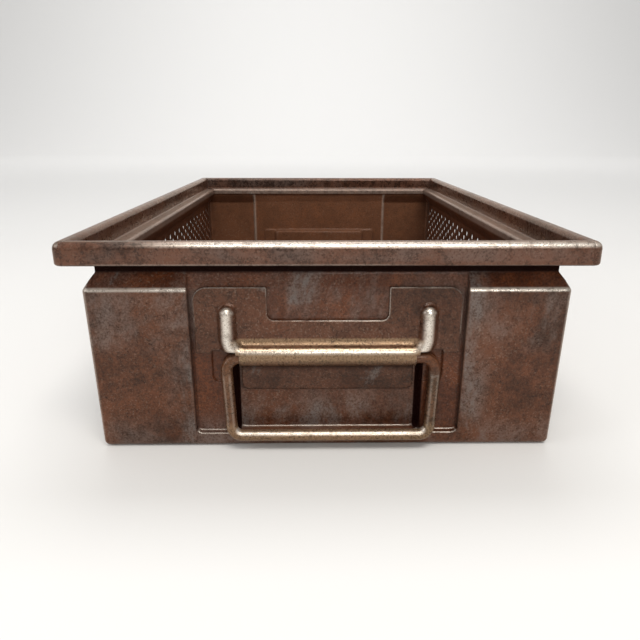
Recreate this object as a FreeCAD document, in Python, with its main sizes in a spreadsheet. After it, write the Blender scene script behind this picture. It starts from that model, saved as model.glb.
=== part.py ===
import FreeCAD, Part
import math
import os
import Sketcher

from FreeCAD import Placement, Rotation, Vector

# Stacking storage crate of pressed sheet steel: a tapered tub with perforated long sides, a hollow
# stacking rim and, on each end, a stamped handle plate that carries a drop handle of round wire.
# Millimetres. +Z is up, +Y runs along the crate, the front end faces -Y and the origin is the
# middle of the base. Distances named "inset" are measured inwards from the rim's outer face.

SIZES = {
    # rim and overall
    "rim_width": 300.0,
    "rim_length": 450.0,
    "height": 130.0,
    "sheet": 1.0,
    "rim_face": 13.0,
    "rim_tube": 9.5,
    "rim_outer_radius": 4.0,
    "rim_inner_radius": 3.0,
    "rim_corner": 6.0,
    "hem_gap": 1.0,
    "hem_depth": 2.5,
    "hem_radius": 1.4,
    "shelf_drop": 12.7,
    "lip_inset": 19.0,
    "lip_depth": 6.3,
    "lip_radius": 2.0,
    # tub
    "fold_inset": 10.0,
    "fold_drop": 29.5,
    "fold_radius": 2.5,
    "shoulder_rise": 9.5,
    "wall_taper": 2.0,
    "foot_radius": 5.0,
    "neck_radius": 1.5,
    "corner_radius": 4.0,
    "seam_from_corner": 12.0,
    "flange": 10.0,
    "floor_gap": 0.2,
    "floor_corner": 3.0,
    # perforation of the long sides
    "hole_diameter": 5.7,
    "hole_column_pitch": 9.4,
    "hole_row_pitch": 10.3,
    "hole_top_margin": 7.0,
    "hole_foot_margin": 14.0,
    "hole_end_margin": 16.0,
    # recess stamped into each end wall
    "recess_margin": 2.5,
    "recess_depth": 5.0,
    "recess_bottom": 9.5,
    "recess_rise": 1.5,
    "recess_corner": 4.0,
    "recess_draft": 0.6,
    "pocket_margin": 2.0,
    "pocket_depth": 4.5,
    "pocket_rise": 5.0,
    "pocket_draft": 3.0,
    "ear_margin": 3.0,
    "ear_rise": 7.0,
    # handle plate
    "plate_margin": 12.0,
    "plate_rise": 1.5,
    "plate_drop": 1.5,
    "plate_corner": 8.0,
    "plate_gap": 1.2,
    "notch_width": 71.0,
    "notch_depth": 20.0,
    "notch_corner": 4.0,
    "channel_end": 0.5,
    "channel_proud": 2.3,
    "bulge_inset": 4.0,
    "bulge_crest": 5.0,
    "bulge_flank": 3.8,
    "bulge_crest_radius": 4.4,
    "bulge_flank_radius": 3.0,
    "bulge_elbow": 9.5,
    "bulge_drop": 16.0,
    "bulge_rise": 3.0,
    "mouth_gap": 1.5,
    "mouth_start": 2.0,
    "mouth_margin": 2.0,
    "flap_drop": 23.0,
    "flap_corner": 4.0,
    "weld_radius": 3.0,
    # drop handle
    "wire": 7.0,
    "wire_clearance": 0.3,
    "pivot_drop": 41.5,
    "handle_width": 125.0,
    "handle_foot": 10.2,
    "handle_taper": 2.8,
    "handle_top_bend": 8.0,
    "handle_foot_bend": 6.5,
    "handle_rest_gap": 0.5,
    "handle_shift": 1.9,
}

doc = FreeCAD.newDocument("stacking_crate")
sheet = doc.addObject("Spreadsheet::Sheet", "Sizes")
for row, (alias, value) in enumerate(SIZES.items(), start=1):
    sheet.set(f"A{row}", alias)
    sheet.set(f"B{row}", str(value))
    sheet.setAlias(f"B{row}", alias)
doc.recompute()


class Sizes:
    """The driving dimensions, read back from the spreadsheet by name."""


for alias in SIZES:
    setattr(Sizes, alias, float(sheet.get(alias)))
S = Sizes

# Overall and tub
HALF_WIDTH = S.rim_width / 2
HALF_LENGTH = S.rim_length / 2
FAR = S.rim_width + S.rim_length
TOP = S.height
SHELF_HEIGHT = TOP - S.shelf_drop
FOLD_HEIGHT = TOP - S.fold_drop
NECK_INSET = S.lip_inset - 2 * S.sheet
NECK_HEIGHT = FOLD_HEIGHT + S.shoulder_rise
NECK_TOP = SHELF_HEIGHT - S.lip_radius
BASE_INSET = S.fold_inset + S.wall_taper
BODY_LENGTH = S.rim_length - 2 * S.fold_inset
SEAM_Y = BODY_LENGTH / 2 - S.seam_from_corner

# Handle, plate and the recess behind them, all from the pivot and the wire
PIVOT_HEIGHT = FOLD_HEIGHT - S.pivot_drop
ARM_END = (S.handle_width + S.wire) / 2
HALF_CHANNEL = S.handle_width / 2 - S.handle_top_bend - S.handle_shift - S.channel_end
HALF_POCKET = HALF_CHANNEL + S.pocket_margin
HALF_PLATE = ARM_END + S.plate_margin
HALF_RECESS = HALF_PLATE + S.recess_margin
RECESS_TOP = FOLD_HEIGHT + S.recess_rise
RECESS_INSET = S.fold_inset + S.recess_depth
POCKET_INSET = RECESS_INSET + S.pocket_depth
PLATE_BACK = RECESS_INSET - S.plate_gap
PLATE_FACE = PLATE_BACK - S.sheet
PLATE_TOP = FOLD_HEIGHT + S.plate_rise
PLATE_BOTTOM = PIVOT_HEIGHT - S.plate_drop
NOTCH_BOTTOM = PLATE_TOP - S.notch_depth
CHANNEL_INNER = S.wire / 2 + S.wire_clearance
CHANNEL_OUTER = CHANNEL_INNER + S.sheet
CHANNEL_FACE = S.fold_inset - S.channel_proud
CHANNEL_UNDER = PIVOT_HEIGHT - CHANNEL_OUTER
FLAP_BOTTOM = PIVOT_HEIGHT - S.flap_drop
PIVOT_INSET = CHANNEL_FACE + CHANNEL_OUTER
EAR_INSET = PIVOT_INSET + CHANNEL_INNER
BULGE_X = S.handle_width / 2 - S.bulge_inset
BULGE_TOP = PLATE_TOP - S.bulge_drop
CHANNEL_CREST = PIVOT_HEIGHT + S.bulge_rise
MOUTH_HEIGHT = PIVOT_HEIGHT + S.wire / 2 + S.mouth_gap
MOUTH_START = HALF_CHANNEL + S.mouth_start
MOUTH_END = ARM_END + S.mouth_margin

# The handle hangs tilted, with its foot just clear of the wall below the recess
WALL_AT_FOOT = BASE_INSET - S.wall_taper * S.recess_bottom / FOLD_HEIGHT
FOOT_REACH = PIVOT_INSET - (WALL_AT_FOOT - S.wire / 2 - S.handle_rest_gap)
FOOT_DROP = PIVOT_HEIGHT - S.handle_foot
EAR_DROP = (EAR_INSET - RECESS_INSET) * FOOT_DROP / FOOT_REACH + S.ear_margin

# A section is drawn as (inset, height). These turn its plane upright, inset running inwards:
# from the front face, extruded along X, and from the left face, extruded along Y.
FRONT = Placement(Vector(0, -HALF_LENGTH, 0), Rotation(Vector(0, 1, 0), Vector(0, 0, 1), Vector(1, 0, 0)))
LEFT = Placement(Vector(-HALF_WIDTH, 0, 0), Rotation(Vector(1, 0, 0), Vector(0, 0, 1), Vector(0, -1, 0)))
HALF_TURN = Placement(Vector(0, 0, 0), Rotation(Vector(0, 0, 1), 180))


def turned(shape):
    """The same shape at the opposite end or side of the crate."""
    copy = shape.copy()
    copy.Placement = HALF_TURN.multiply(copy.Placement)
    return copy


def right_of(points, distance):
    """Corner points of an open polyline after it moves `distance` to its own right."""
    lines = []
    for start, end in zip(points, points[1:]):
        along = (end - start).normalize()
        lines.append((start + Vector(along.y, -along.x, 0) * distance, along))
    moved = [lines[0][0]]
    for (start, along), (other, ahead) in zip(lines, lines[1:]):
        gap = other - start
        reach = (gap.x * ahead.y - gap.y * ahead.x) / (along.x * ahead.y - along.y * ahead.x)
        moved.append(start + along * reach)
    moved.append(lines[-1][0] + lines[-1][1] * (points[-1] - points[-2]).Length)
    return moved


def turn_at(before, corner, after):
    """Signed turn of a polyline at a corner in radians, positive to the left."""
    ahead = after - corner
    along = corner - before
    return math.atan2(along.x * ahead.y - along.y * ahead.x, along.x * ahead.x + along.y * ahead.y)


def bent(points, radii):
    """Edges of an open polyline whose inner corners are rounded, one radius for each."""
    edges = []
    start = points[0]
    for before, corner, after, radius in zip(points, points[1:], points[2:], radii):
        if radius > 0:
            turn = abs(turn_at(before, corner, after))
            back = (before - corner).normalize()
            ahead = (after - corner).normalize()
            tangent = radius * math.tan(turn / 2)
            middle = corner + (back + ahead).normalize() * (radius / math.cos(turn / 2) - radius)
            edges.append(Part.makeLine(start, corner + back * tangent))
            edges.append(Part.Arc(corner + back * tangent, middle, corner + ahead * tangent).toShape())
            start = corner + ahead * tangent
        else:
            edges.append(Part.makeLine(start, corner))
            start = corner
    edges.append(Part.makeLine(start, points[-1]))
    return edges


def outline(points, radii):
    """Face inside a closed polygon whose corners are rounded, one radius for each point."""
    middle = (points[0] + points[-1]) / 2
    loop = [middle] + points + [middle]
    return Part.Face(Part.Wire(bent(loop, radii)))


def bent_sheet(points, radii):
    """Section of sheet that is bent along a line, with the sheet's thickness to the line's right."""
    inner_radii = []
    for before, corner, after, radius in zip(points, points[1:], points[2:], radii):
        side = 1 if turn_at(before, corner, after) > 0 else -1
        inner_radii.append(radius + side * S.sheet)
    inner = right_of(points, S.sheet)
    edges = bent(points, radii) + bent(inner, inner_radii)
    edges.append(Part.makeLine(points[0], inner[0]))
    edges.append(Part.makeLine(points[-1], inner[-1]))
    return Part.Face(Part.Wire(Part.__sortEdges__(edges)))


def extruded(section, placement, half_length):
    """Section set upright and extruded to both sides of its plane."""
    along = placement.Rotation.multVec(Vector(0, 0, 1))
    upright = section.copy()
    upright.Placement = placement
    upright.translate(along * -half_length)
    return upright.extrude(along * (2 * half_length))


def block(x0, x1, y0, y1, z0, z1):
    return Part.makeBox(x1 - x0, y1 - y0, z1 - z0, Vector(x0, y0, z0))


def part_feature(label, shape):
    feature = doc.addObject("Part::Feature", label)
    feature.Label = label
    feature.Shape = shape
    return feature


# ---- tub: one skin inside another, so the sheet keeps its thickness round every bend ----

def tub_outline(top, shift):
    """Region inside the tub's wall as (inset, height), drawn `shift` inside the outer skin."""
    points = [
        Vector(FAR, 0, 0),
        Vector(BASE_INSET, 0, 0),
        Vector(S.fold_inset, FOLD_HEIGHT, 0),
        Vector(NECK_INSET, NECK_HEIGHT, 0),
        Vector(NECK_INSET, top, 0),
        Vector(FAR, top, 0),
    ]
    points = right_of(points, shift)
    radii = [S.foot_radius - shift, S.fold_radius - shift, S.neck_radius + shift, 0]
    edges = bent(points, radii)
    edges.append(Part.makeLine(points[-1], points[0]))
    return Part.Face(Part.Wire(edges))


def tub_solid(top, shift):
    """Solid tub with mitred corners, then rounded where the walls stand."""
    section = tub_outline(top, shift)
    along_x = extruded(section, FRONT, FAR)
    along_y = extruded(section, LEFT, FAR)
    solid = along_x.common(turned(along_x)).common(along_y).common(turned(along_y))
    centre_inset = S.fold_inset + S.corner_radius
    post = section.common(Part.makePlane(centre_inset, 2 * FAR, Vector(0, -FAR, 0)))
    post.Placement = LEFT
    post.translate(Vector(0, -HALF_LENGTH + centre_inset, 0))
    x = -HALF_WIDTH + centre_inset
    y = -HALF_LENGTH + centre_inset
    post = post.revolve(Vector(x, y, 0), Vector(0, 0, 1), 360)
    for side in (1, -1):
        corner = block(-HALF_WIDTH, x, -HALF_LENGTH, y, -1, TOP).cut(post)
        if side < 0:
            corner = corner.mirror(Vector(0, 0, 0), Vector(1, 0, 0))
        solid = solid.cut(corner).cut(turned(corner))
    return solid


def dish(x0, x1, z0, z1, bottom, grow):
    """Drafted hollow with a flat bottom at inset `bottom`, `grow` larger all round."""
    wires = []
    for inset in (RECESS_INSET - S.sheet, bottom + grow):
        rise = (bottom - inset) / S.pocket_depth
        side = grow + rise * S.pocket_draft
        corners = [
            Vector(x0 - side, z0 - grow, 0),
            Vector(x1 + side, z0 - grow, 0),
            Vector(x1 + side, z1 + side, 0),
            Vector(x0 - side, z1 + side, 0),
        ]
        wire = outline(corners, [S.recess_corner] * 4).OuterWire
        wire.Placement = Placement(Vector(0, -HALF_LENGTH + inset, 0), Rotation(Vector(1, 0, 0), 90))
        wires.append(wire)
    return Part.makeLoft(wires, True, True)


def recess_tool(grow):
    """What a recess and its finger pocket take out of the front wall, `grow` larger all round."""
    floor = RECESS_INSET + grow
    mouth = S.fold_inset - S.wall_taper
    bottom = S.recess_bottom - grow
    half = HALF_RECESS + grow
    draft = S.recess_draft
    points = [
        Vector(mouth, bottom - draft, 0),
        Vector(floor, bottom + draft, 0),
        Vector(floor, RECESS_TOP, 0),
        Vector(NECK_INSET + grow, NECK_HEIGHT + S.sheet, 0),
        Vector(mouth, NECK_HEIGHT + S.sheet, 0),
    ]
    tool = extruded(outline(points, [0, 0, 0, 0, 0]), FRONT, half)
    low = S.recess_bottom + 2 * draft
    lower = [edge for edge in tool.Edges if edge.BoundBox.ZMax < low and edge.BoundBox.XLength < 1]
    tool = tool.makeFillet(S.recess_corner + grow, lower)

    foot = S.recess_bottom + draft
    head = PIVOT_HEIGHT + S.pocket_rise
    tool = tool.fuse(dish(-HALF_POCKET, HALF_POCKET, foot, head, POCKET_INSET, grow))
    ear_end = ARM_END + S.handle_shift + 2 * S.wire_clearance
    ear_foot = PIVOT_HEIGHT - EAR_DROP
    ear_head = PIVOT_HEIGHT + S.ear_rise
    for x0, x1 in ((-ear_end, -HALF_POCKET), (HALF_POCKET, ear_end)):
        tool = tool.fuse(dish(x0, x1, ear_foot, ear_head, EAR_INSET, grow))
    return tool


def both_ends(shape, tool):
    return shape.cut(tool).cut(turned(tool))


tub = both_ends(tub_solid(NECK_TOP, 0), recess_tool(0))
tub = tub.cut(both_ends(tub_solid(TOP + S.height, S.sheet), recess_tool(S.sheet)))
inside = HALF_WIDTH - BASE_INSET - S.flange
tub = tub.cut(block(-inside, inside, -SEAM_Y, SEAM_Y, -S.sheet, 2 * S.sheet))

end_wall = tub.common(block(-HALF_WIDTH, HALF_WIDTH, -HALF_LENGTH, -SEAM_Y, 0, TOP))
part_feature("front_end_wall", end_wall)
part_feature("rear_end_wall", turned(end_wall))

# Holes of the perforated sides: staggered columns, every second one half a pitch lower.
side_wall = tub.common(block(-HALF_WIDTH, 0, -SEAM_Y, SEAM_Y, 0, TOP))
span = BODY_LENGTH / 2 - S.hole_end_margin
columns = int(span / S.hole_column_pitch)
holes = []
for column in range(-columns, columns + 1):
    z = FOLD_HEIGHT - S.hole_top_margin - (column % 2) * S.hole_row_pitch / 2
    while z >= S.hole_foot_margin:
        centre = Vector(-HALF_WIDTH, column * S.hole_column_pitch, z)
        holes.append(Part.makeCylinder(S.hole_diameter / 2, 2 * BASE_INSET, centre, Vector(1, 0, 0)))
        z -= S.hole_row_pitch
side_wall = side_wall.cut(Part.makeCompound(holes))
part_feature("left_side_wall", side_wall)
part_feature("right_side_wall", turned(side_wall))

# ---- floor: a flat sheet on the walls' bottom flanges ----

body = doc.addObject("PartDesign::Body", "floor_pan")
body.Label = "floor_pan"
base_plane = [plane for plane in body.Origin.OriginFeatures if plane.Role == "XY_Plane"][0]
sketch = body.newObject("Sketcher::SketchObject", "floor_outline")
sketch.AttachmentSupport = [(base_plane, "")]
sketch.MapMode = "FlatFace"
x = HALF_WIDTH / 2
y = HALF_LENGTH / 2
corners = [Vector(-x, -y, 0), Vector(x, -y, 0), Vector(x, y, 0), Vector(-x, y, 0)]
for start, end in zip(corners, corners[1:] + corners[:1]):
    sketch.addGeometry(Part.LineSegment(start, end))
for line in range(4):
    sketch.addConstraint(Sketcher.Constraint("Coincident", line, 2, (line + 1) % 4, 1))
    sketch.addConstraint(Sketcher.Constraint("Vertical" if line % 2 else "Horizontal", line))
sketch.addConstraint(Sketcher.Constraint("Symmetric", 0, 1, 2, 1, -1, 1))
width = sketch.addConstraint(Sketcher.Constraint("DistanceX", 0, 1, 0, 2, 2 * x))
length = sketch.addConstraint(Sketcher.Constraint("DistanceY", 1, 1, 1, 2, 2 * y))
inset = "2 * (Sizes.fold_inset + Sizes.wall_taper + Sizes.foot_radius + Sizes.floor_gap)"
sketch.setExpression(f"Constraints[{width}]", "Sizes.rim_width - " + inset)
sketch.setExpression(f"Constraints[{length}]", "Sizes.rim_length - " + inset)
pad = body.newObject("PartDesign::Pad", "floor_sheet")
pad.Profile = sketch
pad.setExpression("Length", "Sizes.sheet")
doc.recompute()
upright_edges = [
    f"Edge{number}"
    for number, edge in enumerate(pad.Shape.Edges, start=1)
    if edge.BoundBox.ZLength > S.sheet / 2
]
rounding = body.newObject("PartDesign::Fillet", "floor_corners")
rounding.Base = (pad, upright_edges)
rounding.setExpression("Radius", "Sizes.floor_corner")
body.Tip = rounding
body.setExpression("Placement.Base.z", "Sizes.sheet")

# ---- rim: four rails of one bent section, mitred at the corners ----

hem = 2 * S.sheet + S.hem_gap
rim_foot = TOP - S.rim_face
rim_section = bent_sheet(
    [
        Vector(hem, rim_foot + S.hem_depth, 0),
        Vector(hem, rim_foot, 0),
        Vector(0, rim_foot, 0),
        Vector(0, TOP, 0),
        Vector(S.rim_tube, TOP, 0),
        Vector(S.rim_tube, SHELF_HEIGHT, 0),
        Vector(S.lip_inset, SHELF_HEIGHT, 0),
        Vector(S.lip_inset, SHELF_HEIGHT - S.lip_depth, 0),
    ],
    [
        S.hem_radius,
        S.hem_radius,
        S.rim_outer_radius,
        S.rim_inner_radius,
        S.sheet,
        S.lip_radius,
    ],
)


def wedge(points):
    """Upright prism over a plan polygon."""
    plan = Part.makePolygon(points + points[:1])
    return Part.Face(plan).extrude(Vector(0, 0, TOP + S.sheet))


front_left = Vector(-HALF_WIDTH, -HALF_LENGTH, 0)
front_right = Vector(HALF_WIDTH, -HALF_LENGTH, 0)
rear_left = Vector(-HALF_WIDTH, HALF_LENGTH, 0)
end_wedge = wedge([front_left, front_right, Vector(0, -HALF_LENGTH + HALF_WIDTH, 0)])
side_wedge = wedge([front_left, Vector(-HALF_WIDTH + HALF_LENGTH, 0, 0), rear_left])

end_rail = extruded(rim_section, FRONT, HALF_WIDTH - S.rim_corner).common(end_wedge)
part_feature("front_rim", end_rail)
part_feature("rear_rim", turned(end_rail))

corner_section = rim_section.common(Part.makePlane(S.rim_corner, TOP))
corner_section.Placement = LEFT
corner_section.translate(Vector(0, -HALF_LENGTH + S.rim_corner, 0))
corner_axis = front_left + Vector(S.rim_corner, S.rim_corner, 0)
corner = corner_section.revolve(corner_axis, Vector(0, 0, 1), 90)
side_rail = extruded(rim_section, LEFT, HALF_LENGTH - S.rim_corner).common(side_wedge)
side_rail = side_rail.fuse([corner, corner.mirror(Vector(0, 0, 0), Vector(0, 1, 0))]).removeSplitter()
part_feature("left_rim", side_rail)
part_feature("right_rim", turned(side_rail))

# ---- handle plate, drawn with y = inset so that its Placement carries it to either end ----

AT_FACE = Placement(Vector(0, 0, 0), FRONT.Rotation)


def plate_panel():
    """Flat part of the plate: two wings, with the label notch between them."""
    wing = HALF_PLATE
    notch = S.notch_width / 2
    mouth_rise = MOUTH_HEIGHT - PLATE_BOTTOM
    right = [
        Vector(notch, NOTCH_BOTTOM, 0),
        Vector(notch, PLATE_TOP, 0),
        Vector(wing, PLATE_TOP, 0),
        Vector(wing, PLATE_BOTTOM, 0),
        Vector(MOUTH_END + mouth_rise / 2, PLATE_BOTTOM, 0),
        Vector(MOUTH_END, MOUTH_HEIGHT, 0),
    ]
    radii = [S.notch_corner, S.sheet, S.plate_corner, S.sheet, mouth_rise / 3, mouth_rise / 3]
    left = [Vector(-point.x, point.y, 0) for point in reversed(right)]
    face = outline(right + left, radii + radii[::-1])
    face.Placement = Placement(Vector(0, PLATE_BACK, 0), Rotation(Vector(1, 0, 0), 90))
    return face.extrude(Vector(0, -S.sheet, 0))


def bulge_section(shift):
    """Section across a bulge, centred on its crest, as (across, inset) and `shift` inside its skin."""
    crest = S.bulge_crest / 2
    base = crest + S.bulge_flank
    points = [
        Vector(base + S.bulge_flank_radius, PLATE_FACE, 0),
        Vector(base, PLATE_FACE, 0),
        Vector(crest, CHANNEL_FACE, 0),
        Vector(-crest, CHANNEL_FACE, 0),
        Vector(-base, PLATE_FACE, 0),
        Vector(-base - S.bulge_flank_radius, PLATE_FACE, 0),
    ]
    flank = S.bulge_flank_radius + shift
    round_over = S.bulge_crest_radius - shift
    points = right_of(points, shift)
    back = PLATE_BACK + shift
    edges = bent(points, [flank, round_over, round_over, flank])
    right = Vector(points[0].x, back, 0)
    left = Vector(points[-1].x, back, 0)
    edges += [Part.makeLine(points[-1], left), Part.makeLine(left, right), Part.makeLine(right, points[0])]
    return Part.Face(Part.Wire(edges))


def bulges(shift):
    """Solid under one skin of the plate's raised channel: along the pivot, up both sides, domed on top."""
    section = bulge_section(shift)
    elbow_x = BULGE_X - S.bulge_elbow
    elbow_z = CHANNEL_CREST + S.bulge_elbow
    upright = section.copy()
    upright.translate(Vector(BULGE_X, 0, elbow_z))
    elbow = upright.revolve(Vector(elbow_x, 0, elbow_z), Vector(0, 1, 0), 90)
    post = upright.extrude(Vector(0, 0, BULGE_TOP - elbow_z))
    dome = section.common(Part.makePlane(FAR, FAR)).Faces[0]
    dome.translate(Vector(BULGE_X, 0, BULGE_TOP))
    dome = dome.revolve(Vector(BULGE_X, 0, BULGE_TOP), Vector(0, 1, 0), -180)
    side = elbow.fuse([post, dome])
    bar = section.copy()
    bar.Placement = Placement(Vector(-elbow_x, 0, CHANNEL_CREST), Rotation(Vector(0, 1, 0), -90))
    bar = bar.extrude(Vector(2 * elbow_x, 0, 0))
    return bar.fuse([side, side.mirror(Vector(0, 0, 0), Vector(1, 0, 0))])


def handle_plate():
    plate = plate_panel().fuse(bulges(0)).cut(bulges(S.sheet))
    below = block(-HALF_WIDTH, HALF_WIDTH, 0, POCKET_INSET, 0, CHANNEL_CREST)
    lobes = [
        block(-HALF_PLATE, -MOUTH_START, 0, PLATE_FACE - S.sheet / 2, 0, MOUTH_HEIGHT),
        block(MOUTH_START, HALF_PLATE, 0, PLATE_FACE - S.sheet / 2, 0, MOUTH_HEIGHT),
        block(-MOUTH_END, -MOUTH_START, 0, POCKET_INSET, 0, MOUTH_HEIGHT),
        block(MOUTH_START, MOUTH_END, 0, POCKET_INSET, 0, MOUTH_HEIGHT),
    ]
    plate = plate.cut([below] + lobes)
    hook = bent_sheet(
        [
            Vector(POCKET_INSET - S.sheet, FLAP_BOTTOM, 0),
            Vector(POCKET_INSET - S.sheet, CHANNEL_UNDER, 0),
            Vector(CHANNEL_FACE, CHANNEL_UNDER, 0),
            Vector(CHANNEL_FACE, CHANNEL_CREST, 0),
        ],
        [S.sheet, CHANNEL_OUTER],
    )
    hook = extruded(hook, AT_FACE, HALF_CHANNEL)
    low = FLAP_BOTTOM + S.sheet / 2
    ends = [edge for edge in hook.Edges if edge.BoundBox.ZMax < low]
    ends = [edge for edge in ends if edge.BoundBox.XLength < S.sheet / 2]
    plate = plate.fuse(hook.makeFillet(S.flap_corner, ends))
    weld_x = (BULGE_X + S.bulge_crest / 2 + S.bulge_flank + HALF_PLATE) / 2
    for x in (-weld_x, weld_x):
        for z in (MOUTH_HEIGHT + S.weld_radius, PLATE_TOP - 2 * S.weld_radius):
            centre = Vector(x, PLATE_FACE, z)
            reach = S.sheet + S.plate_gap
            plate = plate.fuse(Part.makeCylinder(S.weld_radius, reach, centre, Vector(0, 1, 0)))
    return plate.removeSplitter()


def at_both_ends(name, shape, inset, height):
    """A front and a rear copy, with their places tied to the spreadsheet."""
    for end, angle, sign in (("front", 0, "-"), ("rear", 180, "")):
        feature = part_feature(f"{end}_{name}", shape)
        feature.Placement = Placement(Vector(0, 0, 0), Rotation(Vector(0, 0, 1), angle))
        feature.setExpression("Placement.Base.y", f"{sign}(Sizes.rim_length / 2 - ({inset}))")
        feature.setExpression("Placement.Base.z", height)


at_both_ends("handle_plate", handle_plate(), "0", "0")

# ---- drop handle, drawn about its pivot and tilted until its foot rests on the wall ----

tilt = math.degrees(math.atan2(FOOT_REACH, FOOT_DROP))
drop = math.hypot(FOOT_REACH, FOOT_DROP)
arm = S.handle_width / 2
foot = arm - S.handle_taper
loop = [
    Vector(0, 0, 0),
    Vector(arm, 0, 0),
    Vector(foot, -drop, 0),
    Vector(-foot, -drop, 0),
    Vector(-arm, 0, 0),
    Vector(0, 0, 0),
]
bends = [S.handle_top_bend, S.handle_foot_bend, S.handle_foot_bend, S.handle_top_bend]
path = Part.Wire(bent(loop, bends))
path.rotate(Vector(0, 0, 0), Vector(1, 0, 0), 90 - tilt)
path.translate(Vector(S.handle_shift, 0, 0))
ring = Part.Wire([Part.makeCircle(S.wire / 2, Vector(S.handle_shift, 0, 0), Vector(1, 0, 0))])
handle = path.makePipeShell([ring], True, False)
pivot_inset = "Sizes.fold_inset - Sizes.channel_proud + Sizes.wire / 2 + Sizes.wire_clearance + Sizes.sheet"
pivot_height = "Sizes.height - Sizes.fold_drop - Sizes.pivot_drop"
at_both_ends("handle", handle, pivot_inset, pivot_height)

# ---- check and write every piece ----

doc.recompute()
os.makedirs("parts", exist_ok=True)
pieces = [body] + doc.findObjects("Part::Feature", Label=".*_(wall|rim|plate|handle)$")
for piece in doc.Objects:
    if "Invalid" in piece.State or "Error" in piece.State:
        raise RuntimeError(f"{piece.Label}: {piece.State}")
for piece in pieces:
    if piece.Shape.isNull() or not piece.Shape.isValid() or len(piece.Shape.Solids) != 1:
        raise RuntimeError(f"{piece.Label}: not one valid solid")
    piece.Shape.exportStep(f"parts/{piece.Label}.step")
    print(f"{piece.Label}: {piece.Shape.Volume:.0f} mm3")
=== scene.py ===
"""Looks of a vintage pressed-steel stacking crate: brown lacquered patina, bare grey wear and orange rust,
with highlights, a golden sheen and shade painted into the colour.
"""
import math

import bmesh
import bpy
from mathutils import Matrix, Vector


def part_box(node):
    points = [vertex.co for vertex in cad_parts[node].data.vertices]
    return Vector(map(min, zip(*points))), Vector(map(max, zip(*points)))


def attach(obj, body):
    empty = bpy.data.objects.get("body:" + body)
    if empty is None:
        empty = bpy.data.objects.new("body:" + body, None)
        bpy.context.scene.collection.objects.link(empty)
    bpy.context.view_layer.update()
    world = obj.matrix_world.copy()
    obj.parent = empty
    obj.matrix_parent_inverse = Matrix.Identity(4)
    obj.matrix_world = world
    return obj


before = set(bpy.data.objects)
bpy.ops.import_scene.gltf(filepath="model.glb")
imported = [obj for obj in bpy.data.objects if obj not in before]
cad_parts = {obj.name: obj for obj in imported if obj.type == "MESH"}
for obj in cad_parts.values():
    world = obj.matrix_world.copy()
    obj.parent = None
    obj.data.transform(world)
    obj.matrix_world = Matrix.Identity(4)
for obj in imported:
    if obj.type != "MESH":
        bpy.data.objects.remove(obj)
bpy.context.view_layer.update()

EDGE_ROUNDING = 0.0016
EDGE_SAMPLES = 6

scene = bpy.context.scene
scene.view_settings.view_transform = "Standard"


# ---------------------------------------------------------------- node helpers

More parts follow.
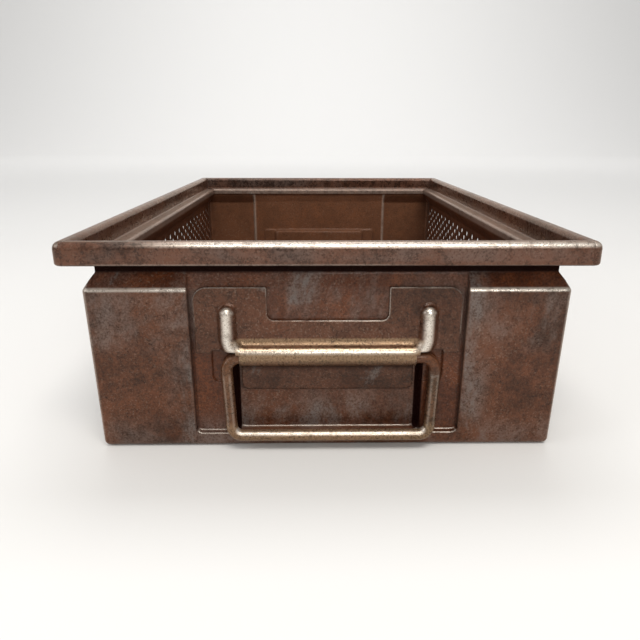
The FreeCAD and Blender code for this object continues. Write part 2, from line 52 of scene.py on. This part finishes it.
class Graph:
    """A small wrapper that makes and links shader nodes in one material."""

    def __init__(self, name):
        self.material = bpy.data.materials.new(name)
        self.material.use_nodes = True
        self.tree = self.material.node_tree
        self.tree.nodes.clear()
        self.coords = self.node("ShaderNodeTexCoord").outputs["Object"]
        xyz = self.node("ShaderNodeSeparateXYZ")
        self.link(self.coords, xyz.inputs[0])
        self.x, self.y, self.z = xyz.outputs
        self.geometry = self.node("ShaderNodeNewGeometry")
        facing = self.node("ShaderNodeSeparateXYZ")
        self.link(self.geometry.outputs["Normal"], facing.inputs[0])
        self.nx, self.ny, self.nz = facing.outputs
        bevel = self.node("ShaderNodeBevel", samples=EDGE_SAMPLES)
        bevel.inputs["Radius"].default_value = EDGE_ROUNDING
        self.soft = bevel.outputs[0]
        rounded = self.node("ShaderNodeSeparateXYZ")
        self.link(self.soft, rounded.inputs[0])
        self.bx, self.by, self.bz = rounded.outputs

    def node(self, kind, **settings):
        made = self.tree.nodes.new(kind)
        for key, value in settings.items():
            setattr(made, key, value)
        return made

    def link(self, source, target):
        if isinstance(source, bpy.types.NodeSocket):
            self.tree.links.new(source, target)
        else:
            target.default_value = source

    def math(self, operation, a, b=0.0):
        made = self.node("ShaderNodeMath", operation=operation)
        for value, socket in zip((a, b), made.inputs):
            self.link(value, socket)
        return made.outputs[0]

    def times(self, *values):
        result = values[0]
        for value in values[1:]:
            result = self.math("MULTIPLY", result, value)
        return result

    def step(self, value, low, high, start=0.0, end=1.0):
        """Smooth rise from start to end as value goes from low to high."""
        made = self.node("ShaderNodeMapRange", interpolation_type="SMOOTHSTEP")
        self.link(value, made.inputs["Value"])
        made.inputs["From Min"].default_value = low
        made.inputs["From Max"].default_value = high
        made.inputs["To Min"].default_value = start
        made.inputs["To Max"].default_value = end
        return made.outputs[0]

    def band(self, value, low, high, soft):
        """One between low and high, fading to zero over `soft` outside them."""
        return self.times(self.step(value, low - soft, low), self.step(value, high, high + soft, 1.0, 0.0))

    def noise(self, scale, detail=4.0, rough=0.55, warp=0.0, stretch=(1, 1, 1), shift=0.0):
        place = self.node("ShaderNodeMapping")
        self.link(self.coords, place.inputs["Vector"])
        place.inputs["Scale"].default_value = stretch
        place.inputs["Location"].default_value = (shift, shift * 0.7, shift * 1.3)
        made = self.node("ShaderNodeTexNoise")
        self.link(place.outputs[0], made.inputs["Vector"])
        made.inputs["Scale"].default_value = scale
        made.inputs["Detail"].default_value = detail
        made.inputs["Roughness"].default_value = rough
        made.inputs["Distortion"].default_value = warp
        return made.outputs["Fac"]

    def mix(self, share, a, b):
        """Colour a, with share of colour b."""
        made = self.node("ShaderNodeMix", data_type="RGBA")
        self.link(share, made.inputs[0])
        for value, socket in ((a, made.inputs[6]), (b, made.inputs[7])):
            if isinstance(value, tuple):
                socket.default_value = (*value, 1.0)
            else:
                self.link(value, socket)
        return made.outputs[2]

    def blend(self, share, a, b):
        """Number a, with share of number b."""
        made = self.node("ShaderNodeMix", data_type="FLOAT")
        self.link(share, made.inputs[0])
        self.link(a, made.inputs[2])
        self.link(b, made.inputs[3])
        return made.outputs[0]

    def ridge(self, value, centre, width):
        """One where value is centre, falling smoothly to zero `width` either side."""
        off = self.math("ABSOLUTE", self.math("SUBTRACT", value, centre))
        return self.step(off, 0.0, width, 1.0, 0.0)

    def edge(self, low, high):
        """One along every edge, where the rounded normal leaves the true one."""
        dot = self.node("ShaderNodeVectorMath", operation="DOT_PRODUCT")
        self.link(self.soft, dot.inputs[0])
        self.link(self.geometry.outputs["Normal"], dot.inputs[1])
        return self.step(self.math("SUBTRACT", 1.0, dot.outputs["Value"]), low, high)


# ---------------------------------------------------------------- colours and the patina

BROWN = (0.074, 0.027, 0.013)
FLOOR_BROWN = (0.07, 0.027, 0.013)
RIM_BROWN = (0.084, 0.038, 0.024)
PLATE_BROWN = (0.066, 0.027, 0.015)
WIRE_BROWN = (0.085, 0.038, 0.019)
WELD_BROWN = (0.11, 0.06, 0.042)
LIT_TAN = (0.25, 0.125, 0.07)
DARK = (0.012, 0.004, 0.003)
RUST = (0.082, 0.02, 0.007)
ORANGE = (0.17, 0.045, 0.011)
STEEL = (0.17, 0.165, 0.16)
FLAKE = (0.23, 0.17, 0.135)
SHEEN_GOLD = (0.38, 0.27, 0.16)
BRIGHT = (0.80, 0.74, 0.66)
SHADE_COLOUR = (0.008, 0.002, 0.0015)
SPECK = (0.5, 0.4, 0.33)


def patina(name, brown=BROWN, rust_share=0.35, steel_share=0.35, steel_scale=26.0, rust_where=None,
           steel_where=None, painted_highlight_where=None, painted_sheen_where=None, painted_shade_where=None, edge_where=None,
           painted_light_where=None, shift=0.0, rough=0.34, streak=(1, 1, 1), dents=1.0, metal=0.35):
    """Lacquered brown steel, with painted highlights, a painted golden sheen and painted light and shade. The
    *_where functions take the graph and return masks from 0 to 1.
    """
    g = Graph(name)
    cloud = g.noise(18, 5, 0.62, 0.5, shift=shift)
    mottle = g.noise(170, 6, 0.68, 0.5, shift=shift + 3)
    grit = g.noise(750, 4, 0.72, 0.3, shift=shift + 5)
    speck = g.noise(1900, 3, 0.7, shift=shift + 6)

    # brown lacquer, darker and lighter in clouds and grain
    tone = g.math("ADD", g.times(cloud, 0.4), g.math("ADD", g.times(mottle, 0.3), g.times(grit, 0.3)))
    colour = g.mix(g.step(tone, 0.4, 0.6), tuple(c * 0.42 for c in brown), tuple(c * 1.6 for c in brown))

    # rust, orange in places and dark in its grain
    rust = g.step(g.noise(28, 6, 0.7, 0.8, shift=shift + 9), 0.46, 0.68)
    rust = g.times(rust, rust_share)
    if rust_where:
        rust = g.math("MAXIMUM", rust, g.times(rust_where(g), g.step(mottle, 0.2, 0.6, 0.6, 1.0)))
    rusty = g.mix(g.step(g.noise(70, 6, 0.7, shift=shift + 2), 0.46, 0.68), RUST, ORANGE)
    rusty = g.mix(g.step(grit, 0.38, 0.58, 0.55, 0.0), rusty, DARK)
    colour = g.mix(g.times(rust, 0.8), colour, rusty)

    # bare grey steel in patches, and small pale flakes
    patch = g.noise(steel_scale, 7, 0.7, 0.5, stretch=streak, shift=shift + 12)
    bare = g.step(patch, 0.68 - 0.17 * steel_share, 0.76 - 0.1 * steel_share)
    if steel_where:
        bare = g.math("MAXIMUM", bare, g.times(steel_where(g), g.step(patch, 0.4, 0.6)))
    grain = g.math("ADD", g.times(grit, 0.6), g.times(mottle, 0.4))
    bare = g.times(bare, g.step(grain, 0.4, 0.58, 0.25, 1.0))
    colour = g.mix(g.times(bare, 0.85), colour, STEEL)
    flakes = g.step(g.noise(800, 4, 0.75, shift=shift + 7), 0.53, 0.66)
    flakes = g.times(flakes, g.step(cloud, 0.4, 0.6, 0.25, 1.0))
    colour = g.mix(g.times(flakes, 0.5), colour, FLAKE)
    # Painted light: faces that don't look out along Y, such as the end walls' inner sides, are lightened
    # towards tan.
    if painted_light_where:
        colour = g.mix(g.times(painted_light_where(g), 0.32), colour, LIT_TAN)

    # a painted golden sheen, painted highlights and worn edges
    golden_sheen = 0.0
    if painted_sheen_where:
        golden_sheen = g.times(painted_sheen_where(g), g.step(grit, 0.34, 0.56, 0.35, 1.0))
        colour = g.mix(g.times(golden_sheen, 0.85), colour, SHEEN_GOLD)
    highlight_and_wear = 0.0
    if painted_highlight_where:
        highlight_and_wear = g.times(painted_highlight_where(g), g.step(mottle, 0.34, 0.54, 0.6, 1.0))
        highlight_and_wear = g.times(highlight_and_wear, g.step(grit, 0.3, 0.5, 0.7, 1.0))
    if edge_where:
        worn = g.step(g.noise(60, 6, 0.75, shift=shift + 8), 0.38, 0.6, 0.1, 1.0)
        worn = g.times(g.edge(0.02, 0.15), edge_where(g), worn)
        highlight_and_wear = g.math("MAXIMUM", highlight_and_wear, worn)
    colour = g.mix(g.times(highlight_and_wear, 0.9), colour, BRIGHT)

    # painted shade in gaps and under overhangs, then dark grain and pale specks over everything
    dark = painted_shade_where(g) if painted_shade_where else 0.0
    colour = g.mix(dark, colour, SHADE_COLOUR)
    colour = g.mix(g.step(grit, 0.32, 0.46, 0.3, 0.0), colour, DARK)
    colour = g.mix(g.step(speck, 0.56, 0.8, 0.0, 0.12), colour, SPECK)

    shader = g.node("ShaderNodeBsdfPrincipled")
    output = g.node("ShaderNodeOutputMaterial")
    g.link(shader.outputs[0], output.inputs[0])
    g.link(colour, shader.inputs["Base Color"])
    shine = g.math("MAXIMUM", g.math("MAXIMUM", highlight_and_wear, golden_sheen), g.times(bare, 0.6))
    metallic = g.math("MAXIMUM", g.blend(rust, metal, metal * 0.4), g.times(shine, 0.97))
    g.link(metallic, shader.inputs["Metallic"])
    roughness = g.blend(rust, g.step(mottle, 0.3, 0.72, rough - 0.08, rough + 0.14), rough + 0.2)
    roughness = g.blend(g.math("MAXIMUM", highlight_and_wear, golden_sheen), roughness, 0.24)
    roughness = g.math("ADD", roughness, g.step(grit, 0.3, 0.7, -0.05, 0.07))
    g.link(roughness, shader.inputs["Roughness"])
    g.link(g.blend(dark, 0.22, 0.0), shader.inputs["Specular IOR Level"])
    g.link(g.blend(g.math("MAXIMUM", shine, dark), 0.34, 0.0), shader.inputs["Coat Weight"])
    shader.inputs["Coat Roughness"].default_value = 0.12
    shader.inputs["Coat Tint"].default_value = (1.0, 0.86, 0.74, 1)
    shader.inputs["Specular Tint"].default_value = (1.0, 0.78, 0.6, 1)
    shader.inputs["Coat IOR"].default_value = 1.5
    relief(g, shader, grit, mottle, shift, dents)
    return g.material


def relief(g, shader, grit, mottle, shift, dents):
    """Shallow dents and fine pits in the surface. The clear coat follows the dents alone."""
    wavy = g.node("ShaderNodeBump")
    wavy.inputs["Strength"].default_value = 0.3 * dents
    wavy.inputs["Distance"].default_value = 0.003
    g.link(g.noise(15, 4, 0.5, 0.3, shift=shift + 20), wavy.inputs["Height"])
    g.link(g.soft, wavy.inputs["Normal"])
    pits = g.node("ShaderNodeBump")
    pits.inputs["Strength"].default_value = 0.2
    pits.inputs["Distance"].default_value = 0.00035
    g.link(g.math("ADD", grit, g.times(mottle, 1.5)), pits.inputs["Height"])
    g.link(wavy.outputs[0], pits.inputs["Normal"])
    g.link(pits.outputs[0], shader.inputs["Normal"])
    g.link(wavy.outputs[0], shader.inputs["Coat Normal"])


def assign(material, *nodes):
    for node in nodes:
        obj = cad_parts[node]
        obj.data.materials.clear()
        obj.data.materials.append(material)


# ---------------------------------------------------------------- where the wear, the rust and the painted light and shade lie, from the CAD boxes

# Lengths in metres. Each is read off a node's box, or is the place of a feature within it.
body_low, body_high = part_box("front_end_wall")
handle_low, handle_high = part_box("front_handle")
rim_low, rim_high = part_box("front_rim")
HALF_WIDTH = -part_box("left_rim")[0].x
HALF_LENGTH = -rim_low.y
TOP = rim_high.z
RIM_BASE = rim_low.z
FOLD = body_high.z - 0.0148
WALL_X = body_high.x
WALL_Y = -body_low.y
RECESS_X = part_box("front_handle_plate")[1].x + 0.0025
CHANNEL_Z = handle_high.z - 0.0035
FOOT_TOP = handle_low.z + 0.0093
FOOT_FADE = 0.005
HALF_POCKET = 0.0541
POCKET_TOP = 0.064
SILL = (0.006, 0.0105)
NOTCH = (CHANNEL_Z + 0.029, CHANNEL_Z + 0.034)
BULGE_X = 0.0585


def outward(g, along, across):
    """One on the faces that look out of the crate along one axis."""
    return g.step(g.math("MULTIPLY", across, g.math("SIGN", along)), -0.2, 0.1)


def top(g, *masks):
    """The strongest of several masks."""
    result = masks[0]
    for mask in masks[1:]:
        result = g.math("MAXIMUM", result, mask)
    return result


def inner(g):
    """One on the faces that don't look out along Y, such as the end walls' inner sides."""
    return g.math("SUBTRACT", 1.0, outward(g, g.y, g.ny))


# A painted highlight along the rounded fold, where its face tilts up towards the light.
def fold_line(g):
    return g.times(g.ridge(g.bz, 0.42, 0.4), g.band(g.z, FOLD - 0.004, FOLD + 0.0012, 0.001))


def beside(g):
    """One on the end walls' faces to the left and right of the recess."""
    return g.step(g.math("ABSOLUTE", g.x), RECESS_X - 0.0003, RECESS_X + 0.0012)


def end_rust(g):
    away = g.math("ABSOLUTE", g.y)
    shoulder = g.times(g.step(g.z, FOLD + 0.0005, FOLD + 0.002), outward(g, g.y, g.ny))
    recess = g.step(away, WALL_Y - 0.0042, WALL_Y - 0.0034, 1.0, 0.0)
    recess = g.times(recess, g.math("SUBTRACT", 1.0, beside(g)))
    recess = g.times(recess, g.step(away, WALL_Y - 0.009, WALL_Y - 0.0055, 0.3, 0.85))
    edges = g.band(g.math("ABSOLUTE", g.x), RECESS_X - 0.001, RECESS_X + 0.006, 0.003)
    return top(g, g.times(shoulder, 0.95), g.times(recess, 0.8), g.times(inner(g), g.blend(edges, 0.45, 1.0)))


def end_steel(g):
    low = g.step(g.z, 0.004, 0.026, 0.6, 0.0)
    high = g.band(g.z, FOLD - 0.03, FOLD - 0.006, 0.012)
    across = g.math("ABSOLUTE", g.x)
    near = g.times(beside(g), g.step(across, RECESS_X + 0.004, RECESS_X + 0.02, 0.9, 0.0))
    pocket = g.step(g.math("ABSOLUTE", g.y), WALL_Y - 0.0088, WALL_Y - 0.0075, 0.9, 0.0)
    pocket = g.times(pocket, g.step(g.z, 0.018, 0.036, 1.0, 0.3))
    notch = g.times(g.step(g.z, *NOTCH), g.step(across, 0.02, 0.036, 1.0, 0.2))
    return g.times(top(g, low, g.times(high, 0.55), near, pocket, notch), outward(g, g.y, g.ny))


# Painted highlights: along the fold beside the recess, down the wall corners, on the recess sill, and faint
# lines at the recess edges inside.
def end_painted_highlight(g):
    fold = g.times(fold_line(g), beside(g), g.step(g.noise(24, 3, 0.5, shift=5.0), 0.35, 0.6, 0.6, 1.0))
    across = g.math("ABSOLUTE", g.x)
    corner = g.ridge(g.math("ABSOLUTE", g.bx), 0.7, 0.45)
    corner = g.times(corner, g.step(across, WALL_X - 0.006, WALL_X - 0.004), 0.3)
    sill = g.times(g.ridge(g.bz, 0.5, 0.4), g.band(g.z, *SILL, 0.001))
    sill = g.times(sill, g.math("SUBTRACT", 1.0, beside(g)))
    outside = g.times(top(g, fold, corner, g.times(sill, 0.8)), outward(g, g.y, g.ny))
    inside = g.times(g.ridge(across, RECESS_X + 0.0008, 0.0028), inner(g), 0.3)
    return g.math("MAXIMUM", outside, inside)


# Painted shade on the recess and pocket side walls and in the neck under the rim.
def end_painted_shade(g):
    across = g.math("ABSOLUTE", g.x)
    away = g.math("ABSOLUTE", g.y)
    recess = g.band(across, RECESS_X - 0.0013, RECESS_X - 0.0002, 0.0004)
    recess = g.times(recess, g.band(g.z, SILL[1] + 0.0025, FOLD - 0.003, 0.002))
    recess = g.times(recess, g.step(away, WALL_Y - 0.0052, WALL_Y - 0.0047), 0.9)
    pocket = g.band(across, HALF_POCKET - 0.0004, HALF_POCKET + 0.0032, 0.0008)
    pocket = g.times(pocket, g.band(g.z, SILL[1] + 0.0005, POCKET_TOP, 0.002))
    pocket = g.times(pocket, g.step(away, WALL_Y - 0.0052, WALL_Y - 0.0046, 1.0, 0.0))
    neck = g.times(g.step(g.z, RIM_BASE - 0.0018, RIM_BASE - 0.0002), 0.97)
    return g.times(top(g, recess, pocket, neck), outward(g, g.y, g.ny))


def side_rust(g):
    within = g.math("SUBTRACT", 1.0, outward(g, g.x, g.nx))
    shoulder = g.step(g.z, FOLD + 0.0005, FOLD + 0.002)
    return top(g, g.times(within, 0.45), g.times(shoulder, 0.8))


# A painted highlight along the side walls' fold.
def side_painted_highlight(g):
    return g.times(fold_line(g), outward(g, g.x, g.nx), 0.6)


def proud(g, low, high):
    """Rises to one where the plate stands out past the wall, between the two distances."""
    return g.step(g.math("ABSOLUTE", g.y), WALL_Y + low, WALL_Y + high)


# A painted golden sheen on the channel, stronger where it faces up, and in the hollow above it.
def plate_painted_sheen(g):
    channel = g.band(g.z, CHANNEL_Z - 0.006, CHANNEL_Z + 0.0065, 0.002)
    channel = g.times(channel, proud(g, -0.0005, 0.0008))
    hollow = g.band(g.z, CHANNEL_Z + 0.0088, CHANNEL_Z + 0.0112, 0.0014)
    hollow = g.times(hollow, g.step(g.math("ABSOLUTE", g.x), BULGE_X - 0.004, BULGE_X, 1.0, 0.0))
    channel = g.times(channel, g.step(g.bz, -0.35, 0.3, 0.25, 0.9))
    return top(g, channel, g.times(hollow, 0.6))


# Painted highlights along the bulges' crests and the channel's crest.
def plate_painted_highlight(g):
    across = g.math("ABSOLUTE", g.x)
    bulge = g.times(g.ridge(g.bx, -0.05, 0.85), proud(g, -0.0012, 0.001))
    bulge = g.times(bulge, g.step(g.z, CHANNEL_Z + 0.002, CHANNEL_Z + 0.007))
    bulge = g.times(bulge, g.step(across, BULGE_X - 0.006, BULGE_X - 0.003))
    crest = g.times(g.ridge(g.bz, 0.4, 0.42), proud(g, -0.001, 0.0012))
    crest = g.times(crest, g.step(g.z, CHANNEL_Z, CHANNEL_Z + 0.001))
    crest = g.times(crest, g.step(across, 0.02, 0.056, 1.0, 0.6))
    return top(g, bulge, g.times(crest, 0.85))


def plate_edge(g):
    return g.step(g.z, CHANNEL_Z + 0.012, CHANNEL_Z + 0.02, 0.06, 0.6)


# A painted shadow in a band just under the channel.
def plate_painted_shade(g):
    below = g.step(g.z, CHANNEL_Z - 0.007, CHANNEL_Z - 0.004, 1.0, 0.0)
    return g.times(below, g.step(g.z, CHANNEL_Z - 0.012, CHANNEL_Z - 0.006), 0.9)


def rim_rust(g):
    return g.step(g.z, RIM_BASE + 0.0055, RIM_BASE + 0.0085, 0.5, 0.0)


def rim_steel(g):
    return g.times(g.step(g.z, RIM_BASE + 0.0065, RIM_BASE + 0.011), 0.35)


# Painted highlights along the end rims' top and bottom roundings, the side rails' tops, and faintly on the
# lips.
def rim_painted_highlight(g):
    ends = g.step(g.math("ABSOLUTE", g.y), HALF_LENGTH - 0.0058, HALF_LENGTH - 0.004)
    upper = g.times(g.ridge(g.bz, 0.66, 0.5), ends, g.step(g.z, TOP - 0.01, TOP - 0.005))
    upper = g.times(upper, g.band(g.x, -0.06, 0.125, 0.06), 0.95)
    lower = g.times(g.ridge(g.bz, -0.5, 0.45), ends, g.band(g.x, -0.11, 0.02, 0.04), 0.35)
    sides = g.step(g.math("ABSOLUTE", g.x), HALF_WIDTH - 0.0055, HALF_WIDTH - 0.004)
    sides = g.times(sides, g.ridge(g.bz, 0.66, 0.4), 0.4)
    lips = g.times(g.band(g.z, RIM_BASE + 0.0015, RIM_BASE + 0.0062, 0.001), 0.2)
    return top(g, upper, lower, sides, lips)


# Painted shade on the rims' downward faces near their base.
def rim_painted_shade(g):
    below = g.step(g.z, RIM_BASE + 0.0062, RIM_BASE + 0.0074, 1.0, 0.0)
    return g.times(below, g.step(g.nz, -0.75, -0.4, 1.0, 0.0), 0.85)


def wire_rust(g):
    right = g.step(g.math("MULTIPLY", g.x, g.math("SIGN", g.y)), -0.05, -0.045, 1.0, 0.5)
    return g.times(g.step(g.z, CHANNEL_Z - 0.013, CHANNEL_Z - 0.005), right)


# A painted golden sheen, strong on the foot bar below FOOT_TOP and faint on the arms.
def wire_painted_sheen(g):
    return g.step(g.z, FOOT_TOP, FOOT_TOP + FOOT_FADE, 0.5, 0.08)


# Painted highlights along the top of the foot bar and down the arms' flanks.
def wire_painted_highlight(g):
    crown = g.times(g.ridge(g.bz, 0.62, 0.4), g.step(g.z, FOOT_TOP, FOOT_TOP + FOOT_FADE, 0.8, 0.0))
    flank = g.times(g.ridge(g.math("ABSOLUTE", g.bx), 0.5, 0.3), 0.16)
    flank = g.times(flank, g.band(g.z, FOOT_TOP + 0.002, CHANNEL_Z - 0.012, 0.004))
    return g.math("MAXIMUM", crown, flank)


# ---------------------------------------------------------------- a material for each kind of sheet and wire

tub = patina("tub_patina", rust_where=end_rust, steel_where=end_steel, painted_highlight_where=end_painted_highlight,
             painted_shade_where=end_painted_shade, painted_light_where=inner, rust_share=0.22, streak=(1, 1, 0.5), shift=1.0)
sides = patina("side_patina", rust_where=side_rust, painted_highlight_where=side_painted_highlight, steel_share=0.5,
               streak=(1, 1, 0.5), shift=11.0)
floor_steel = patina("floor_patina", brown=FLOOR_BROWN, rust_share=0.7, steel_share=0.2, shift=21.0,
                     rough=0.45)
rim = patina("rim_patina", brown=RIM_BROWN, rust_share=0.15, steel_share=0.5, steel_scale=20.0,
             rust_where=rim_rust, steel_where=rim_steel, painted_highlight_where=rim_painted_highlight, painted_shade_where=rim_painted_shade,
             shift=31.0, rough=0.28, metal=0.55)
plates = patina("plate_patina", brown=PLATE_BROWN, steel_share=0.35, painted_sheen_where=plate_painted_sheen,
                painted_highlight_where=plate_painted_highlight, edge_where=plate_edge, painted_shade_where=plate_painted_shade,
                shift=41.0, rough=0.3, dents=0.6, metal=0.45)
wire = patina("wire_patina", brown=WIRE_BROWN, rust_share=0.5, steel_share=0.55, steel_scale=70.0,
              rust_where=wire_rust, painted_sheen_where=wire_painted_sheen, painted_highlight_where=wire_painted_highlight,
              shift=51.0, rough=0.26, dents=0.3, metal=0.5)
weld = patina("weld_patina", brown=WELD_BROWN, rust_share=0.3, steel_share=0.4, shift=61.0,
              rough=0.3, metal=0.6)
assign(tub, "front_end_wall", "rear_end_wall")
assign(sides, "left_side_wall", "right_side_wall")
assign(floor_steel, "floor_pan")
assign(rim, "front_rim", "rear_rim", "left_rim", "right_rim")
assign(plates, "front_handle_plate", "rear_handle_plate")
assign(wire, "front_handle", "rear_handle")


# ---------------------------------------------------------------- weld beads along the rim's mitres

BEAD_RADIUS = 0.00055
BEAD_STEP = 0.00035
BEAD_SIDES = 10


def weld_bead(name, points, phase):
    """A thin rippled bead laid along a line of points."""
    steps = []
    for start, end in zip(points, points[1:]):
        count = max(2, int((end - start).length / BEAD_STEP))
        steps += [start.lerp(end, k / count) for k in range(count)]
    steps.append(points[-1])
    shape = bmesh.new()
    rings = []
    for k, place in enumerate(steps):
        ahead = steps[min(k + 1, len(steps) - 1)] - steps[max(k - 1, 0)]
        turn = ahead.to_track_quat("Z", "Y")
        ripple = 1.0 + 0.16 * math.sin(k * 1.7 + phase) + 0.1 * math.sin(k * 0.61 + 2.0 * phase)
        if k in (0, len(steps) - 1):
            ripple = 0.15
        ring = []
        for j in range(BEAD_SIDES):
            angle = math.tau * j / BEAD_SIDES
            offset = Vector((math.cos(angle), math.sin(angle), 0)) * BEAD_RADIUS * ripple
            ring.append(shape.verts.new(place + turn @ offset))
        rings.append(ring)
    for near, far in zip(rings, rings[1:]):
        for j in range(BEAD_SIDES):
            k = (j + 1) % BEAD_SIDES
            shape.faces.new((near[j], near[k], far[k], far[j])).smooth = True
    shape.faces.new(rings[0][::-1])
    shape.faces.new(rings[-1])
    mesh = bpy.data.meshes.new(name)
    shape.to_mesh(mesh)
    shape.free()
    mesh.materials.append(weld)
    bead = bpy.data.objects.new(name, mesh)
    scene.collection.objects.link(bead)
    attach(bead, "crate")


# Points down the rail's inner side, each as the distance in from the rim's outline and down from its top.
MITRE = ((0.0092, 0.0025), (0.0096, 0.0038), (0.0096, 0.0116), (0.0103, 0.0124), (0.0164, 0.0125),
         (0.0182, 0.0131), (0.0190, 0.0148), (0.0190, 0.0182))
for corner, (sx, sy) in enumerate(((-1, -1), (1, -1), (-1, 1), (1, 1))):
    line = []
    for inset, drop in MITRE:
        line.append(Vector((sx * (HALF_WIDTH - inset), sy * (HALF_LENGTH - inset), TOP - drop)))
    weld_bead(f"rim_weld_{corner}", line, 1.3 * corner)


# ---------------------------------------------------------------- floor, light and camera

FLOOR_FRONT = -9.0
FLOOR_BACK = 4.0
FLOOR_HALF_WIDTH = 12.0
SWEEP_RADIUS = 3.0
SWEEP_STEPS = 24
BACKDROP_TOP = 9.0


def stage_floor():
    """A pale sheet that runs under the crate and sweeps up into a backdrop far behind it."""
    profile = [(FLOOR_FRONT, 0.0), (FLOOR_BACK, 0.0)]
    for step in range(1, SWEEP_STEPS + 1):
        turn = math.radians(90 * step / SWEEP_STEPS)
        profile.append((FLOOR_BACK + SWEEP_RADIUS * math.sin(turn), SWEEP_RADIUS * (1 - math.cos(turn))))
    profile.append((FLOOR_BACK + SWEEP_RADIUS, BACKDROP_TOP))
    shape = bmesh.new()
    edges = (-FLOOR_HALF_WIDTH, FLOOR_HALF_WIDTH)
    rows = [[shape.verts.new((x, y, z)) for x in edges] for y, z in profile]
    for near, far in zip(rows, rows[1:]):
        shape.faces.new((near[0], near[1], far[1], far[0])).smooth = True
    mesh = bpy.data.meshes.new("studio_floor")
    shape.to_mesh(mesh)
    shape.free()
    floor = bpy.data.objects.new("studio_floor", mesh)
    scene.collection.objects.link(floor)
    material = bpy.data.materials.new("studio_pale")
    material.use_nodes = True
    shader = material.node_tree.nodes["Principled BSDF"]
    shader.inputs["Base Color"].default_value = (0.72, 0.71, 0.695, 1)
    shader.inputs["Roughness"].default_value = 0.8
    shader.inputs["Specular IOR Level"].default_value = 0.1
    mesh.materials.append(material)


def softbox(name, place, target, width, height, power, colour=(1, 1, 1)):
    light = bpy.data.lights.new(name, "AREA")
    light.shape = "RECTANGLE"
    light.size = width
    light.size_y = height
    light.energy = power
    light.color = colour
    obj = bpy.data.objects.new(name, light)
    obj.location = place
    obj.rotation_euler = (Vector(target) - Vector(place)).to_track_quat("-Z", "Y").to_euler()
    scene.collection.objects.link(obj)


def studio_sky():
    """Soft even light from all round, a little stronger from above."""
    world = bpy.data.worlds.new("studio")
    scene.world = world
    world.use_nodes = True
    tree = world.node_tree
    coords = tree.nodes.new("ShaderNodeTexCoord")
    split = tree.nodes.new("ShaderNodeSeparateXYZ")
    tree.links.new(coords.outputs["Generated"], split.inputs[0])
    rise = tree.nodes.new("ShaderNodeMapRange")
    rise.inputs["From Min"].default_value = -0.1
    rise.inputs["From Max"].default_value = 1.0
    rise.inputs["To Min"].default_value = 0.34
    rise.inputs["To Max"].default_value = 0.75
    tree.links.new(split.outputs["Z"], rise.inputs["Value"])
    shade = tree.nodes["Background"]
    tree.links.new(rise.outputs[0], shade.inputs["Strength"])
    shade.inputs["Color"].default_value = (0.98, 0.99, 1.0, 1)


CAMERA_PLACE = (-0.009564, -0.531507, 0.18694)
CAMERA_LENS = 32.531625
SENSOR_WIDTH = 36


def photo_camera():
    """Camera low in front of the crate, looking down 18 degrees along +Y."""
    pitch, yaw, roll = 0.3164, -0.0152, 0.0022
    right = Vector((math.cos(yaw), math.sin(yaw), 0))
    ahead = Vector((-math.sin(yaw) * math.cos(pitch), math.cos(yaw) * math.cos(pitch), -math.sin(pitch)))
    up = right.cross(ahead)
    side = right * math.cos(roll) + up * math.sin(roll)
    above = -right * math.sin(roll) + up * math.cos(roll)
    data = bpy.data.cameras.new("photo_camera")
    data.sensor_width = SENSOR_WIDTH
    data.lens = CAMERA_LENS
    data.clip_start = 0.01
    camera = bpy.data.objects.new("photo_camera", data)
    turn = Matrix((side, above, -ahead)).transposed().to_4x4()
    camera.matrix_world = Matrix.Translation(CAMERA_PLACE) @ turn
    scene.collection.objects.link(camera)
    scene.camera = camera


stage_floor()
studio_sky()
softbox("key_above", (0.12, -0.95, 1.5), (0, -0.2, 0.1), 1.0, 0.45, 13, (1, 0.96, 0.9))
softbox("key_front", (0.35, -2.0, 1.0), (0, -0.2, 0.06), 0.8, 0.4, 10, (1, 0.96, 0.9))
softbox("fill_left", (-1.5, -0.6, 0.9), (0, 0, 0.05), 0.9, 0.9, 5, (0.94, 0.97, 1))
softbox("overhead", (0, 0.7, 1.9), (0, 0.1, 0), 1.4, 0.8, 15)
softbox("backdrop", (0, 2.6, 3.6), (0, 7, 1.0), 4.0, 1.0, 150)
photo_camera()
